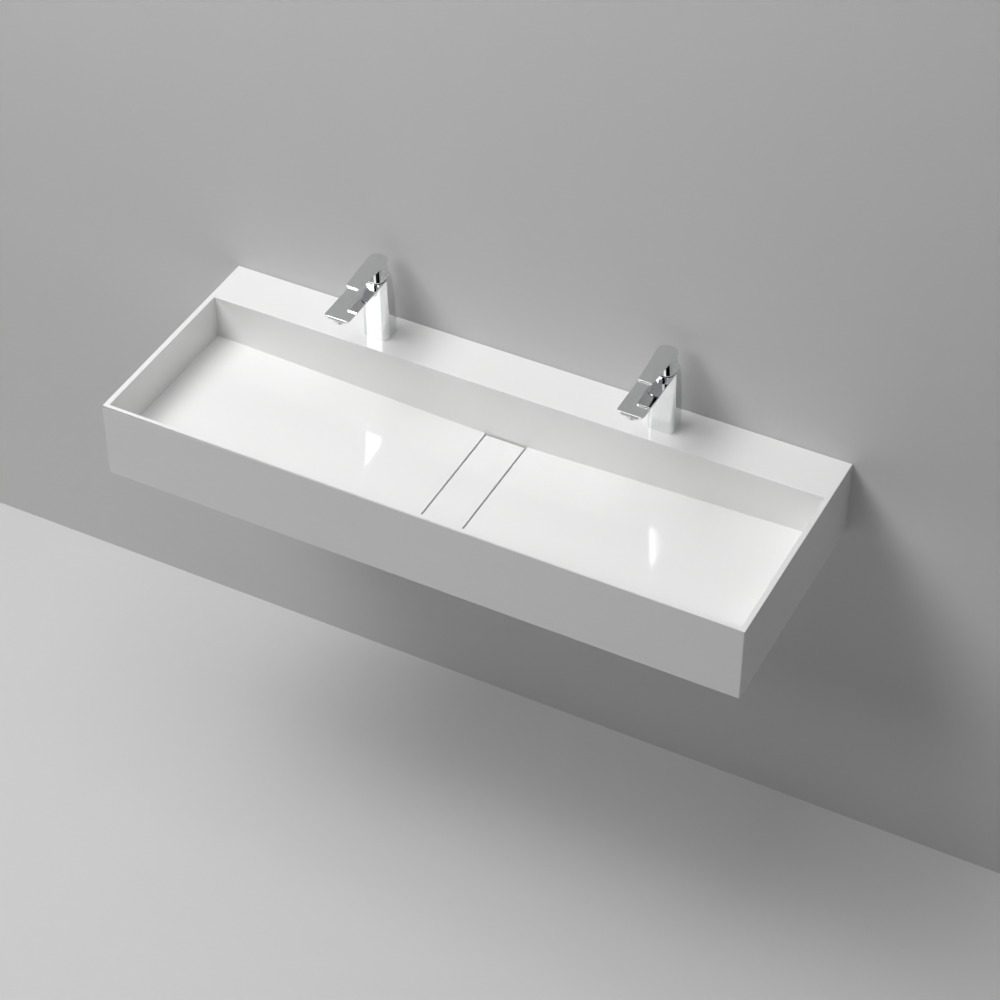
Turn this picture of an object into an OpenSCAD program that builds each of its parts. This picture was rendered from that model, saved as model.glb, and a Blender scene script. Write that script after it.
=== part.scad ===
// Wall-hung trough sink with two bowls in one trough, a drain channel under a
// loose cover in the middle, and two single-lever mixer taps on its ledge.
// Millimetres. +Z is up, +X runs along the wall, the wall is the plane y = 0
// and the front faces -Y. The origin is the middle of the four wall bolts.

/* [Trough] */
// Width of the trough, end to end
basin_w = 1200; // [1100:10:1500]
// Depth from the wall to the front face
basin_d = 450; // [420:5:500]
// Height of the front apron
basin_h = 150; // [144:1:190]
// Height of the rim above the middle of the wall bolts
rim_z = 80; // [76:1:90]
// Thickness of the front and end walls
rim_t = 10; // [8:0.5:14]
// Radius of the upright corners
corner_r = 2; // [1:0.5:5]
// Depth of the tap ledge, from the wall to the bowls
ledge_d = 100; // [98:1:120]
// Thickness of the tap ledge
ledge_t = 14; // [10:1:18]
// Thickness of the wall between the ledge and the bowls
back_wall_t = 10; // [8:0.5:12]
// Depth of the bowls at the two ends
bowl_end_depth = 88; // [76:1:90]
// Fall of each bowl floor from the end to the drain channel
floor_fall = 19.5; // [10:0.5:21]
// Thickness of the bowl floors
floor_t = 12; // [9:0.5:14]

/* [Drain channel] */
// Width of the loose cover over the channel
cover_w = 76; // [70:1:100]
// Thickness of the cover plate
cover_t = 10; // [8:0.5:12]
// Slot between the cover and the channel on every side
cover_gap = 3; // [2:0.25:5]
// Depth of the channel below the cover's top, at the waste
channel_depth = 27; // [25:0.5:30]
// Fall of the channel floor from each end to the waste
channel_fall = 3; // [1:0.5:4]
// Thickness of the channel walls and floor
channel_t = 8.5; // [7:0.5:10]
// Length of each bearer under the cover
bearer_t = 10; // [8:0.5:14]

/* [Waste] */
// Radius of the grid flange
flange_r = 31.5; // [29:0.5:34]
// Thickness of the grid flange
flange_t = 2.5; // [2:0.25:3.5]
// Thickness of the seal under the grid flange
flange_seal_t = 1.5; // [1:0.25:2]
// Number of holes round the grid
grid_count = 6; // [4:1:6]
// Radius of each grid hole
grid_hole_r = 4.2; // [3:0.1:4.6]
// Outside radius of the tailpiece thread
tail_r = 20.95; // [19:0.05:22]
// Wall of the tailpiece
tail_wall = 3.2; // [2.4:0.2:3.6]
// Length of the tailpiece below its collar
tail_l = 45; // [35:1:70]
// Thickness of the tailpiece collar
collar_t = 3; // [2.5:0.25:4]
// Thickness of the rubber gasket above the collar
gasket_t = 3; // [2:0.25:4]

/* [Wall brackets] */
// Distance of each bracket from the end of the trough
bracket_inset = 200; // [160:5:240]
// Height between the two wall bolts of a bracket
bolt_spacing = 60; // [50:1:70]
// Radius of the wall bolt holes
bolt_hole_r = 5.5; // [4.5:0.25:6.5]
// Width of the wall plate
plate_w = 64; // [60:1:80]
// Thickness of the wall plate
plate_t = 5; // [4:0.5:6]
// Width of the bracket arm
arm_w = 44; // [40:1:50]
// Height of the arm where it leaves the wall
arm_h = 22; // [18:1:26]
// Thickness of the arm's sheet
arm_t = 4; // [3:0.5:5]
// Length of the arm, from the wall
arm_l = 380; // [360:5:400]
// Radius of the bosses that rest on the arms
boss_r = 17; // [15:0.5:19]
// Height of each boss below the bowl floor
boss_h = 15; // [12:0.5:16]
// Thickness of the rubber pads between boss and arm
pad_t = 3; // [2:0.5:4]
// Radius of the trough fixing screws
screw_r = 4; // [3:0.25:4.5]

/* [Tap body] */
// Distance of each tap from the middle of the trough
tap_x = 276; // [240:1:300]
// Distance of the taps from the wall
tap_y = 50; // [48:1:55]
// Width of the body at its base
body_w = 51; // [48:0.5:54]
// Depth of the body at its base
body_d = 44; // [43:0.5:48]
// Radius of the body's upright corners
body_corner_r = 11; // [8:0.5:13]
// Height of the spout's top above the ledge
spout_z = 131; // [128:1:170]
// Reach of the spout in front of the body's middle
spout_reach = 147; // [135:1:175]
// Width of the spout
spout_w = 49.5; // [48:0.5:56]
// Thickness of the spout at its tip
spout_t = 7; // [6:0.25:8]
// Radius of the spout's front corners
spout_corner_r = 7; // [4:0.5:12]
// Distance of the aerator behind the spout's tip
aerator_y = 16; // [15:0.5:20]
// Radius of the aerator
aerator_r = 12; // [11:0.25:13]
// Length of the aerator that shows below the spout
aerator_l = 6; // [4:0.5:8]

/* [Tap lever] */
// Length of the lever plate in front of the spindle
lever_front = 84; // [72:1:97]
// Length of the lever plate behind the spindle
lever_back = 22; // [19:0.5:26]
// Width of the lever plate over the spindle
lever_rear_w = 38; // [34:1:42]
// Width of the lever plate at its front edge
lever_front_w = 25; // [20:0.5:32]
// Thickness of the lever plate
lever_t = 4.5; // [3.5:0.25:6]
// Height of the cap between the body and the lever plate
cap_h = 24; // [22:0.5:30]
// Gap between the body and the cap
cap_gap = 0.8; // [0.6:0.1:1.5]
// How far the lever lifts, in degrees
lift_angle = 18; // [12:1:20]

/* [Tap inner parts] */
// Radius of the ceramic cartridge
cartridge_r = 12.5; // [12:0.1:12.8]
// Height of the ceramic cartridge
cartridge_h = 32; // [30:1:36]
// Depth of the cartridge's top below the spout's top
cartridge_drop = 13; // [12:0.5:15]
// Depth of the spindle pivot below the cartridge's top
pivot_drop = 5; // [4:0.25:5.5]
// Radius of the pivot pin
pivot_pin_r = 1.25; // [1:0.05:1.5]
// Thickness of the fixed ceramic disc
fixed_disc_t = 3.5; // [3:0.25:4]
// Thickness of the moving ceramic disc
moving_disc_t = 5; // [4.5:0.25:5.5]
// Radius of the moving ceramic disc
moving_disc_r = 7.3; // [6.5:0.1:7.5]
// Width of the spindle across the tap
spindle_w = 6; // [5:0.25:6.5]
// Depth of the spindle, front to back
spindle_d = 7; // [6:0.25:7.5]
// Running clearance round turning and sliding pieces
running_gap = 0.08; // [0.05:0.01:0.1]
// Radius of the mounting stud
stud_r = 4; // [3:0.25:4.5]
// Length of the mounting stud below the ledge top
stud_l = 44; // [38:1:60]
// Radius of the tap hole in the ledge
tap_hole_r = 17.5; // [16.5:0.25:18]
// Radius of the supply inlets
inlet_r = 4.6; // [4:0.1:5]
// Depth of the supply inlet threads
inlet_l = 16; // [12:1:20]

/* [Hidden] */
$fn = 48;
// Steps round a lofted corner, how far cuts run past a face, and the small gaps
// between pieces: faces that touch, seats, close fits, loose fits and wide ones
corner_steps = 8;
e = 1;
hairline = 0.01;
seat_gap = 0.05;
fit_gap = 0.05;
slack = 0.2;
play = 0.3;

// Levels and faces of the trough
bowl_half = basin_w / 2 - rim_t;
bowl_front = -(basin_d - rim_t);
channel_half = cover_w / 2 + cover_gap;
channel_out = channel_half + channel_t;
apron_z = rim_z - basin_h;
floor_end_z = rim_z - bowl_end_depth;
floor_mid_z = floor_end_z - floor_fall;
channel_z = floor_mid_z - channel_depth;
channel_under_z = channel_z - channel_t;
ledge_under_z = rim_z - ledge_t;
void_z = min(apron_z, channel_under_z) - e;
waste_y = (bowl_front - ledge_d) / 2;

// Levels of the waste
bearer_arch_r = (channel_depth - cover_t) * 0.6;
waste_recess_r = flange_r + 0.5;
waste_recess_z = channel_z - flange_t - flange_seal_t;
waste_hole_r = tail_r + 1.5;
waste_seal_inner_r = waste_hole_r + 1;
tail_inner_r = tail_r - tail_wall;
tail_top_z = waste_recess_z + 0.5;
collar_r = flange_r - 1;
tail_chamfer = 1;
collar_z = channel_under_z - gasket_t - collar_t;
waste_screw_r = 3;
waste_screw_end = 3;
spider_boss_r = 6;
spider_boss_l = 12;
spider_bar_t = 4;
grid_pcd_r = (waste_screw_r + flange_t + tail_inner_r) / 2 + slack;

// Height of the bowl floor at a distance x from the middle
function floor_z(x) =
    floor_mid_z + floor_fall * max(0, abs(x) - channel_half) / (bowl_half - channel_half);

// Height of the channel floor at a place y
function channel_floor_z(y) =
    channel_z + channel_fall * max(0, abs(y - waste_y) - waste_recess_r)
    / (abs(bowl_front + ledge_d) / 2 - waste_recess_r);

// Places and levels of the brackets
bracket_x = basin_w / 2 - bracket_inset;
rear_boss_d = 70;
arm_end_l = 25;
boss_y = [-(ledge_d + rear_boss_d), -(arm_l - arm_end_l)];
boss_z = floor_z(bracket_x + boss_r) - floor_t - boss_h;
seat_z = boss_z - pad_t;
arm_under_z = seat_z - arm_h;
plate_end_h = 20;
plate_top_z = bolt_spacing / 2 + plate_end_h;
arm_tip_h = arm_h * 0.6;
gusset_gap = 6;
gusset_drop = 8;
gusset_top_l = 9;
gusset_end_h = 6;
insert_wall = 2;
insert_r = screw_r + insert_wall;
insert_l = 14;
insert_spare = 2;
washer_t = 1.6;
washer_r = screw_r * 2.1;
screw_head_r = screw_r * 1.9;
screw_head_h = 5.3;
screw_play = 0.5;

// Places on the tap, measured from the middle of its base
spindle_y = -7;
body_top_in = 13;
body_top_w = spout_w + 0.6;
spout_side_in = 0.8;
spout_keel_w = 18;
spout_under_z = spout_z - spout_t;
belly_h = 43;
belly_flat_l = 40;
belly_flat_fall = 3;
belly_lead = 1.5;
belly_fall = 7;
aerator_place = -(spout_reach - aerator_y);
aerator_ring_t = 2.8;
aerator_face_z = spout_under_z - aerator_ring_t;
aerator_rim = 0.5;
aerator_neck_r = aerator_r - 1.5;
aerator_neck_l = 3.4;
insert_bore_r = aerator_r - 3;
insert_plate_t = 3;
insert_recess = 0.8;
insert_hole_r = 0.9;
seal_t = 1.5;
seal_r = 20;
seal_inner_r = 17.8;
stud_y = 11;
stud_depth = 18;
stud_end_gap = 1;
inlet_x = 9;
inlet_y = -8;
port_x = 7.5;
port_r = 2.8;
port_seal_r = port_r + 1.4;
disc_port_r = port_r - 0.8;
outlet_r = port_r - 0.4;
outlet_y = -6;

// Levels inside the tap, from the bottom of the cartridge to the top of the lever
cartridge_top_z = spout_z - cartridge_drop;
pivot_z = cartridge_top_z - pivot_drop;
chamber_r = cartridge_r + 0.1;
chamber_z = cartridge_top_z - cartridge_h;
carrier_foot_z = pivot_z - 6;
moving_disc_z = carrier_foot_z - 0.5 - moving_disc_t;
fixed_disc_z = moving_disc_z - 0.05 - fixed_disc_t;
disc_cavity_r = cartridge_r - 2.1;
fixed_disc_r = disc_cavity_r - 0.1;
mix_depth = 1.2;
mix_r = moving_disc_r - 2.5;
o_ring_t = 2;
o_ring_z = pivot_z - 3;
o_ring_inner_r = cartridge_r - 1.5;
pocket_depth = 2.5;
pocket_w = spindle_w + 0.6;
pocket_d = 5.3;
spindle_tip_d = 3.8;
spindle_tip_z = moving_disc_z + moving_disc_t - pocket_depth + 0.75;
spindle_z = pivot_z - 4;
carrier_r = 8.5;
carrier_foot_r = disc_cavity_r - 0.5;
carrier_foot_t = 1.9;
carrier_top_z = pivot_z + 7;
carrier_window_d = 12;
carrier_slot_w = spindle_w + slack;
pin_recess = 0.4;
nut_r = cartridge_r + 0.8;
nut_top_z = spout_z - 0.5;
nut_opening_r = 9.7;
nut_slot_w = 3;
nut_slot_d = 1.6;
lever_grip_h = 17;
spindle_top_z = spout_z + lever_grip_h;
cap_z = spout_z + cap_gap;
lever_z = cap_z + cap_h - cap_gap;
cap_w = 46;
cap_top_w = 34;
cap_front = -27;
cap_back = 14;
cap_top_front = -18;
cap_top_back = 15;
cap_corner_r = 10;
cap_top_front_r = 8;
relief_y = -3;
relief_angle = lift_angle + 0.5;
lever_corner_r = 15;
lever_tip_r = 3;
grub_y = -1.5;
grub_z = cap_z + 9.5;
grub_r = 2.5;
grub_l = 10;
grub_socket_r = 1.4;
grub_socket_l = 2.5;
plug_r = 4;
plug_x = 15.5;

// The water's way from the cartridge to the aerator
duct_w = 14;
duct_end = 3;
duct_tip_l = 14;
duct_bend_y = 8;
duct_bend_z = 10;
outlet_z = chamber_z + 4;
outlet_h = 4;
duct_tip_z = spout_under_z + slack;
duct_h = 4;

// The clamp under the ledge
clamp_r = 25;
clamp_seal_t = 3;
clamp_t = 3;
nut_h = 6.5;
nut_af_r = 7.5;
hose_slot_w = 30;
hose_slot_back = 3;

// A rectangle with round corners, from (x0, y0) to (x1, y1)
module rounded_rect(x0, y0, x1, y1, r) {
    translate([x0 + r, y0]) square([x1 - x0 - 2 * r, y1 - y0]);
    translate([x0, y0 + r]) square([x1 - x0, y1 - y0 - 2 * r]);
    for (x = [x0 + r, x1 - r], y = [y0 + r, y1 - r])
        translate([x, y]) circle(r);
}

// Extrudes an outline drawn as (y, z) along x, centred, w wide
module along_x(w) {
    rotate([90, 0, 90]) translate([0, 0, -w / 2]) linear_extrude(w) children();
}

// Extrudes an outline drawn as (x, z) along y, from y0 to y1
module along_y(y0, y1) {
    translate([0, y1, 0]) rotate([90, 0, 0]) linear_extrude(y1 - y0) children();
}

// A point on a cubic curve through four guide points
function curve_point(p, t) =
    pow(1 - t, 3) * p[0] + 3 * pow(1 - t, 2) * t * p[1]
    + 3 * (1 - t) * pow(t, 2) * p[2] + pow(t, 3) * p[3];

// One round corner of a ring, from the angle a on, about the point (x, y)
function ring_corner(x, y, z, r, a) =
    [for (i = [0:corner_steps])
        let (b = a + 90 * i / corner_steps)
        [x + r * cos(b), y + r * sin(b), z]];

// A level ring of a block: half its width, its front and back, and their corners
function ring(z, half_w, front, back, front_r, back_r) = concat(
    ring_corner(half_w - back_r, back - back_r, z, back_r, 0),
    ring_corner(back_r - half_w, back - back_r, z, back_r, 90),
    ring_corner(front_r - half_w, front + front_r, z, front_r, 180),
    ring_corner(half_w - front_r, front + front_r, z, front_r, 270)
);

// A solid lofted through level rings, listed from the bottom up
module loft(rings) {
    n = len(rings[0]);
    last = (len(rings) - 1) * n;
    polyhedron(
        points = [for (r = rings) each r],
        faces = concat(
            [[for (i = [0:n - 1]) i]],
            [for (k = [0:n:last - n], i = [0:n - 1])
                let (j = (i + 1) % n)
                each [[k + i, k + i + n, k + j + n], [k + i, k + j + n, k + j]]],
            [[for (i = [n - 1:-1:0]) last + i]]
        )
    );
}

// ---------------------------------------------------------------- trough

// The open bowls: two floors that fall to the channel, inside upright walls
module bowl_space() {
    intersection() {
        along_y(bowl_front - e, -ledge_d + e) polygon([
            [-bowl_half - e, rim_z + e],
            [-bowl_half - e, floor_z(bowl_half)],
            [-bowl_half, floor_z(bowl_half)],
            [-channel_half, floor_mid_z],
            [channel_half, floor_mid_z],
            [bowl_half, floor_z(bowl_half)],
            [bowl_half + e, floor_z(bowl_half)],
            [bowl_half + e, rim_z + e]
        ]);
        translate([0, 0, floor_mid_z - e]) linear_extrude(rim_z - floor_mid_z + 3 * e)
            rounded_rect(-bowl_half, bowl_front, bowl_half, -ledge_d, corner_r);
    }
}

// The channel between the floors, which falls to the waste from both ends
module channel_space() {
    along_x(2 * channel_half) polygon([
        [-ledge_d, floor_mid_z + e],
        [-ledge_d, channel_floor_z(-ledge_d)],
        [waste_y + waste_recess_r, channel_z],
        [waste_y - waste_recess_r, channel_z],
        [bowl_front, channel_floor_z(bowl_front)],
        [bowl_front, floor_mid_z + e]
    ]);
}

// The open space under the floors, the channel and the ledge
module underside_space() {
    for (side = [-1, 1])
        along_y(bowl_front, e) polygon([
            [side * channel_out, void_z],
            [side * channel_out, floor_z(channel_out) - floor_t],
            [side * bowl_half, floor_z(bowl_half) - floor_t],
            [side * bowl_half, void_z]
        ]);
    translate([-bowl_half, bowl_front, void_z])
        cube([2 * bowl_half, e - bowl_front, channel_under_z - void_z]);
    translate([-bowl_half, back_wall_t - ledge_d, void_z])
        cube([2 * bowl_half, ledge_d - back_wall_t + e, ledge_under_z - void_z]);
}

module at_bosses() {
    for (side = [-1, 1], y = boss_y)
        translate([side * bracket_x, y, 0]) children();
}

module basin() {
    color("white") difference() {
        union() {
            difference() {
                translate([0, 0, apron_z]) linear_extrude(basin_h)
                    difference() {
                        rounded_rect(-basin_w / 2, -basin_d, basin_w / 2, corner_r, corner_r);
                        translate([-basin_w / 2 - e, 0]) square([basin_w + 2 * e, corner_r + e]);
                    }
                bowl_space();
                channel_space();
                underside_space();
            }
            at_bosses() translate([0, 0, boss_z]) cylinder(r = boss_r, h = boss_h + floor_t / 2);
        }
        at_bosses() translate([0, 0, boss_z - e]) cylinder(r = insert_r, h = insert_l + 2 * e);
        translate([0, waste_y, waste_recess_z])
            cylinder(r = waste_recess_r, h = channel_z - waste_recess_z + e);
        translate([0, waste_y, channel_under_z - e])
            cylinder(r = waste_hole_r, h = channel_t + 2 * e);
        for (side = [-1, 1])
            at_tap(side) translate([0, 0, -ledge_t - e])
                cylinder(r = tap_hole_r, h = ledge_t + 2 * e);
    }
}

// A bearer under the cover, with an arch for the water to pass
module cover_bearer(y) {
    y0 = y - bearer_t / 2;
    y1 = y + bearer_t / 2;
    difference() {
        along_x(cover_w - 2 * cover_gap) polygon([
            [y0, floor_mid_z - cover_t],
            [y0, channel_floor_z(y0) + seat_gap],
            [y1, channel_floor_z(y1) + seat_gap],
            [y1, floor_mid_z - cover_t]
        ]);
        translate([0, y1 + e, channel_z]) rotate([90, 0, 0])
            cylinder(r = bearer_arch_r, h = bearer_t + 2 * e);
    }
}

module drain_cover() {
    back_y = -ledge_d - cover_gap;
    front_y = bowl_front + cover_gap;
    bearer_d = (back_y - front_y) / 6;
    color("white") {
        translate([0, 0, floor_mid_z - cover_t]) linear_extrude(cover_t)
            rounded_rect(-cover_w / 2, front_y, cover_w / 2, back_y, corner_r);
        for (y = [front_y + bearer_d, back_y - bearer_d])
            cover_bearer(y);
    }
}

// ----------------------------------------------------------------- waste

module at_waste() {
    translate([0, waste_y, 0]) children();
}

module waste_flange() {
    hole_r = waste_screw_r + slack;
    color("silver") at_waste() difference() {
        translate([0, 0, channel_z - flange_t]) cylinder(r = flange_r, h = flange_t);
        translate([0, 0, channel_z - flange_t - e])
            cylinder(r = hole_r, h = flange_t + 2 * e);
        translate([0, 0, channel_z - flange_t])
            cylinder(r1 = hole_r, r2 = hole_r + flange_t, h = flange_t + hairline);
        for (i = [0:grid_count - 1])
            rotate(i * 360 / grid_count) translate([grid_pcd_r, 0, channel_z - flange_t - e])
                cylinder(r = grid_hole_r, h = flange_t + 2 * e);
    }
}

module waste_flange_seal() {
    color("dimgray") at_waste() difference() {
        translate([0, 0, waste_recess_z]) cylinder(r = flange_r, h = flange_seal_t);
        translate([0, 0, waste_recess_z - e])
            cylinder(r = waste_seal_inner_r, h = flange_seal_t + 2 * e);
    }
}

module waste_screw() {
    screw_foot_z = tail_top_z - spider_boss_l - waste_screw_end;
    color("silver") at_waste() {
        translate([0, 0, channel_z - flange_t])
            cylinder(r1 = waste_screw_r, r2 = waste_screw_r + flange_t - slack, h = flange_t - slack);
        translate([0, 0, screw_foot_z])
            cylinder(r = waste_screw_r, h = channel_z - flange_t + hairline - screw_foot_z);
    }
}

module waste_gasket() {
    color("dimgray") at_waste() difference() {
        translate([0, 0, collar_z + collar_t]) cylinder(r = collar_r, h = gasket_t);
        translate([0, 0, collar_z]) cylinder(r = tail_r + fit_gap, h = collar_t + gasket_t + e);
    }
}

module waste_tailpiece() {
    color("silver") at_waste() {
        rotate_extrude() polygon([
            [tail_inner_r, collar_z - tail_l],
            [tail_r - tail_chamfer, collar_z - tail_l],
            [tail_r, collar_z - tail_l + tail_chamfer],
            [tail_r, collar_z],
            [collar_r, collar_z],
            [collar_r, collar_z + collar_t],
            [tail_r, collar_z + collar_t],
            [tail_r, tail_top_z],
            [tail_inner_r, tail_top_z]
        ]);
        difference() {
            translate([0, 0, tail_top_z - spider_boss_l]) {
                cylinder(r = spider_boss_r, h = spider_boss_l);
                for (i = [0:2])
                    rotate(i * 120 + 30) translate([0, -spider_bar_t / 2, 0])
                        cube([tail_inner_r + 1, spider_bar_t, spider_boss_l / 2]);
            }
            translate([0, 0, tail_top_z - spider_boss_l - e])
                cylinder(r = waste_screw_r + running_gap, h = spider_boss_l + 2 * e);
        }
    }
}

// -------------------------------------------------------------- brackets

// One wall bracket: a plate on the wall and a channel-shaped arm under the bowls
module bracket() {
    gusset_y = back_wall_t - ledge_d + gusset_gap;
    gusset_top_z = plate_top_z - gusset_drop;
    color("gray") difference() {
        union() {
            translate([-plate_w / 2, -plate_t, arm_under_z])
                cube([plate_w, plate_t, plate_top_z - arm_under_z]);
            for (side = [-1, 1])
                translate([side * (arm_w - arm_t) / 2, 0, 0]) along_x(arm_t) polygon([
                    [-plate_t / 2, gusset_top_z],
                    [-plate_t - gusset_top_l, gusset_top_z],
                    [gusset_y, seat_z + gusset_end_h],
                    [gusset_y, seat_z - arm_t / 2],
                    [-arm_l, seat_z - arm_t / 2],
                    [-arm_l, seat_z - arm_tip_h],
                    [gusset_y, arm_under_z],
                    [-plate_t / 2, arm_under_z]
                ]);
            translate([-arm_w / 2, -arm_l, seat_z - arm_t])
                cube([arm_w, arm_l + gusset_y, arm_t]);
            translate([-arm_w / 2, -arm_l, seat_z - arm_tip_h])
                cube([arm_w, arm_t, arm_tip_h]);
        }
        for (z = [-1, 1])
            translate([0, e, z * bolt_spacing / 2]) rotate([90, 0, 0])
                cylinder(r = bolt_hole_r, h = plate_t + 2 * e);
        for (y = boss_y)
            translate([0, y, seat_z - arm_t - e]) cylinder(r = screw_r + screw_play, h = arm_t + 2 * e);
    }
}

module bracket_pads() {
    color("dimgray") at_bosses() difference() {
        translate([0, 0, seat_z]) cylinder(r = boss_r, h = pad_t);
        translate([0, 0, seat_z - e]) cylinder(r = screw_r + screw_play, h = pad_t + 2 * e);
    }
}

module bracket_screws() {
    head_z = seat_z - arm_t - washer_t - screw_head_h;
    color("silver") at_bosses() {
        translate([0, 0, head_z]) cylinder(r = screw_head_r, h = screw_head_h, $fn = 6);
        translate([0, 0, head_z + hairline])
            cylinder(r = screw_r, h = screw_head_h + washer_t + arm_t + pad_t + insert_l - insert_spare);
    }
}

module bracket_washers() {
    color("silver") at_bosses() difference() {
        translate([0, 0, seat_z - arm_t - washer_t]) cylinder(r = washer_r, h = washer_t);
        translate([0, 0, seat_z - arm_t - washer_t - e])
            cylinder(r = screw_r + play, h = washer_t + 2 * e);
    }
}

module threaded_inserts() {
    color("goldenrod") at_bosses() difference() {
        translate([0, 0, boss_z]) cylinder(r = insert_r, h = insert_l);
        translate([0, 0, boss_z - e]) cylinder(r = screw_r + running_gap, h = insert_l + 2 * e);
    }
}

// ------------------------------------------------------------------ taps

module at_tap(side) {
    translate([side * tap_x, -tap_y, rim_z]) children();
}

function body_half(z) = body_w / 2 + (body_top_w - body_w) / 2 * z / spout_z;
function body_back(z) = body_d / 2 - body_top_in * pow(z / spout_z, 2);
function spout_half(z) = max(spout_keel_w / 2, spout_w / 2 - spout_side_in * (spout_z - z));

// The upright part of the tap: its front is upright, and its back leans forward
// more and more as it rises
module body_column() {
    steps = 8;
    loft([for (i = [0:steps])
        let (z = spout_z * i / steps)
        ring(z, body_half(z), -body_d / 2, body_back(z), body_corner_r, body_corner_r)]);
}

// The spout: its underside sweeps down into the body's front, and its sides slope
// in under the flat top to a narrow keel
module spout_slab() {
    root_z = spout_z - belly_h;
    keel_z = spout_z - (spout_w - spout_keel_w) / 2 / spout_side_in;
    belly = [
        [-spout_reach - e, spout_under_z],
        [-spout_reach + belly_flat_l, spout_under_z - belly_flat_fall],
        [-body_d / 2 - belly_lead, spout_under_z - belly_fall],
        [-body_d / 2 + slack, root_z]
    ];
    belly_steps = 16;
    intersection() {
        along_x(spout_w + 2 * e) polygon(concat(
            [for (i = [0:belly_steps]) curve_point(belly, i / belly_steps)],
            [[0, root_z], [0, spout_z + e], [-spout_reach - e, spout_z + e]]
        ));
        loft([for (z = [root_z - e, keel_z, spout_z])
            ring(z, spout_half(z), -spout_reach, spout_corner_r, spout_corner_r, spout_corner_r)]);
    }
}

// The water's way from the cartridge's outlet to the aerator
module spout_duct() {
    bend_y = -body_d / 2 - duct_bend_y;
    bend_z = spout_under_z - duct_bend_z;
    along_x(duct_w) polygon([
        [spindle_y, outlet_z],
        [spindle_y - chamber_r, outlet_z],
        [bend_y, bend_z],
        [aerator_place + duct_tip_l, duct_tip_z],
        [aerator_place - duct_end, duct_tip_z],
        [aerator_place - duct_end, duct_tip_z + duct_h],
        [aerator_place + duct_tip_l, duct_tip_z + duct_h],
        [bend_y + duct_h, bend_z + duct_h],
        [spindle_y - chamber_r, outlet_z + 2 * outlet_h],
        [spindle_y, outlet_z + outlet_h]
    ]);
}

module tap_body() {
    color("gainsboro") difference() {
        union() {
            body_column();
            spout_slab();
            translate([0, aerator_place, aerator_face_z])
                cylinder(r = aerator_r + aerator_rim, h = spout_t);
        }
        spout_duct();
        translate([0, spindle_y, chamber_z]) cylinder(r = chamber_r, h = spout_z - chamber_z + e);
        translate([0, spindle_y, cartridge_top_z])
            cylinder(r = nut_r, h = spout_z - cartridge_top_z + e);
        translate([0, aerator_place, aerator_face_z - e])
            cylinder(r = aerator_neck_r, h = aerator_neck_l + e);
        for (side = [-1, 1]) {
            translate([side * inlet_x, inlet_y, -e]) cylinder(r = inlet_r, h = inlet_l + e);
            translate([side * port_x, inlet_y, inlet_l - e])
                cylinder(r = port_r, h = chamber_z - inlet_l + 2 * e);
        }
        translate([0, stud_y, -e]) cylinder(r = stud_r, h = stud_depth + e);
        translate([0, 0, -e]) difference() {
            cylinder(r = seal_r + slack, h = seal_t + e);
            translate([0, 0, -e]) cylinder(r = seal_inner_r - slack, h = seal_t + 3 * e);
        }
    }
}

module base_seal() {
    color("dimgray") difference() {
        cylinder(r = seal_r, h = seal_t);
        translate([0, 0, -e]) cylinder(r = seal_inner_r, h = seal_t + 2 * e);
    }
}

module aerator_housing() {
    color("gainsboro") translate([0, aerator_place, 0]) difference() {
        union() {
            translate([0, 0, aerator_face_z - aerator_l]) cylinder(r = aerator_r, h = aerator_l);
            translate([0, 0, aerator_face_z - hairline]) cylinder(r = aerator_neck_r, h = aerator_neck_l);
        }
        translate([0, 0, aerator_face_z - aerator_l - e])
            cylinder(r = insert_bore_r, h = aerator_l + aerator_neck_l + 2 * e);
    }
}

module aerator_insert() {
    ring_count = [1, 6, 12];
    ring_step = insert_bore_r / 3.3;
    plate_z = aerator_face_z - aerator_l + insert_recess;
    color("whitesmoke") translate([0, aerator_place, plate_z]) difference() {
        cylinder(r = insert_bore_r - running_gap, h = insert_plate_t);
        for (ring = [0:2], i = [0:ring_count[ring] - 1])
            rotate(i * 360 / ring_count[ring]) translate([ring * ring_step, 0, -e])
                cylinder(r = insert_hole_r, h = insert_plate_t + 2 * e);
    }
}

module at_spindle() {
    translate([0, spindle_y, 0]) children();
}

module at_ports() {
    for (side = [-1, 1])
        translate([side * port_x, inlet_y - spindle_y, 0]) children();
}

// The cartridge's base: two ports for the supplies and an outlet in its front
module cartridge_base() {
    color("whitesmoke") at_spindle() difference() {
        translate([0, 0, chamber_z + hairline])
            cylinder(r = cartridge_r, h = fixed_disc_z - chamber_z - 2 * hairline);
        at_ports() {
            translate([0, 0, chamber_z - e]) cylinder(r = port_r, h = fixed_disc_z - chamber_z + 2 * e);
            translate([0, 0, chamber_z - e]) cylinder(r = port_seal_r, h = seal_t + e);
        }
        translate([0, outlet_y, outlet_z]) cylinder(r = outlet_r, h = fixed_disc_z - outlet_z + e);
        translate([-port_r, -cartridge_r - e, outlet_z])
            cube([2 * port_r, cartridge_r + e + outlet_y, outlet_h]);
    }
}

module cartridge_housing() {
    color("whitesmoke") at_spindle() difference() {
        translate([0, 0, fixed_disc_z])
            cylinder(r = cartridge_r, h = cartridge_top_z - hairline - fixed_disc_z);
        translate([0, 0, fixed_disc_z - e])
            cylinder(r = disc_cavity_r, h = carrier_foot_z + carrier_foot_t + play - fixed_disc_z + e);
        translate([0, 0, fixed_disc_z]) cylinder(r = carrier_r + running_gap, h = cartridge_h);
        translate([0, 0, o_ring_z]) o_ring(chamber_r + e);
    }
}

// A ring in the groove round the housing, out to radius r
module o_ring(r) {
    difference() {
        cylinder(r = r, h = o_ring_t);
        translate([0, 0, -e]) cylinder(r = o_ring_inner_r, h = o_ring_t + 2 * e);
    }
}

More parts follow.
